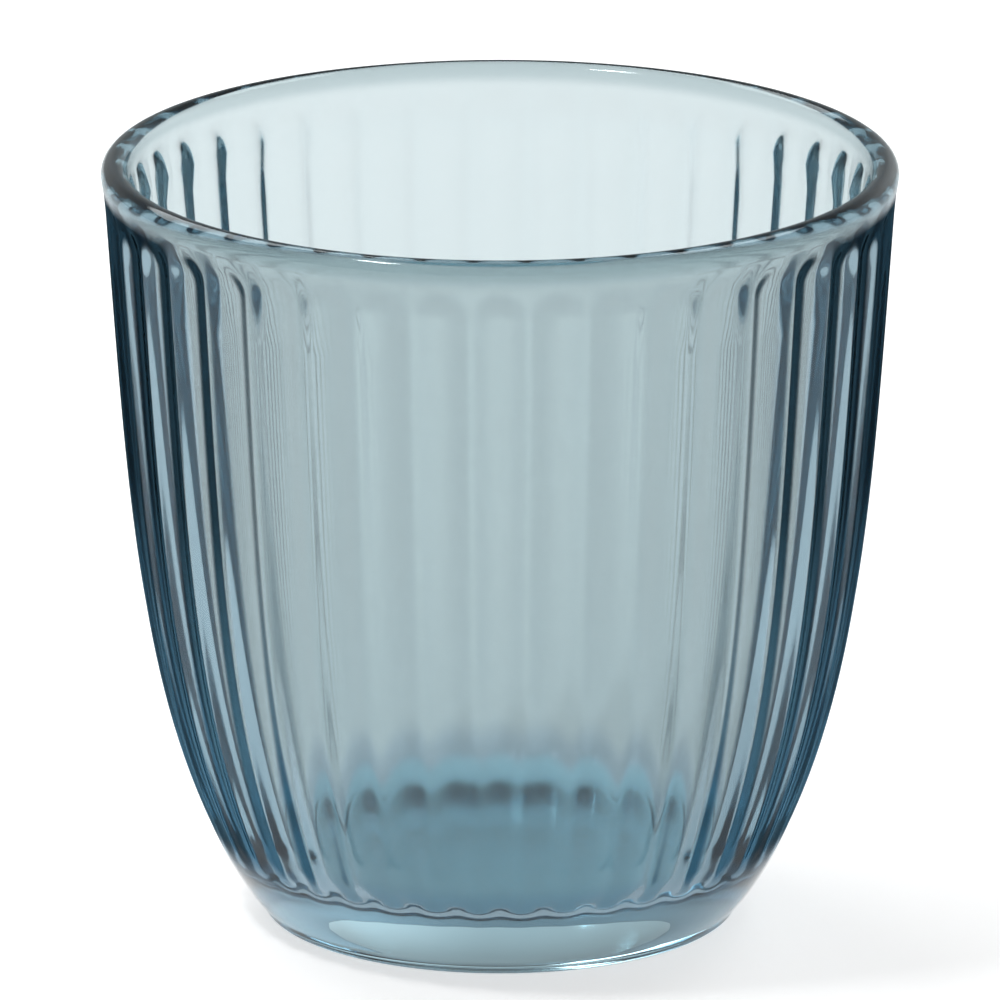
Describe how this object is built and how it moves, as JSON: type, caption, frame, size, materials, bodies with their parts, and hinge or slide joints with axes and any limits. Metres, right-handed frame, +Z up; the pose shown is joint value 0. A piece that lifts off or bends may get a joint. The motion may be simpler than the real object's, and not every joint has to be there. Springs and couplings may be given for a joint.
{
  "type": "glass vase",
  "caption": "Short wide-mouthed fluted vase of tinted pressed glass, with a rounded rim, concave flutes round the outside, a curved-in foot and a thick solid base.",
  "frame": {"origin": "centre of the foot, on the surface that the vase stands on", "axes": "+Z up along the vase's axis of revolution, X and Y across the mouth, the middle of a flute on the -Y side"},
  "size_m": [0.092, 0.092, 0.09],
  "materials": {
    "tinted_glass": "fire-polished, clear"
  },
  "bodies": {
    "root": {"glass_vase": "tinted_glass"}
  },
  "joints": []
}
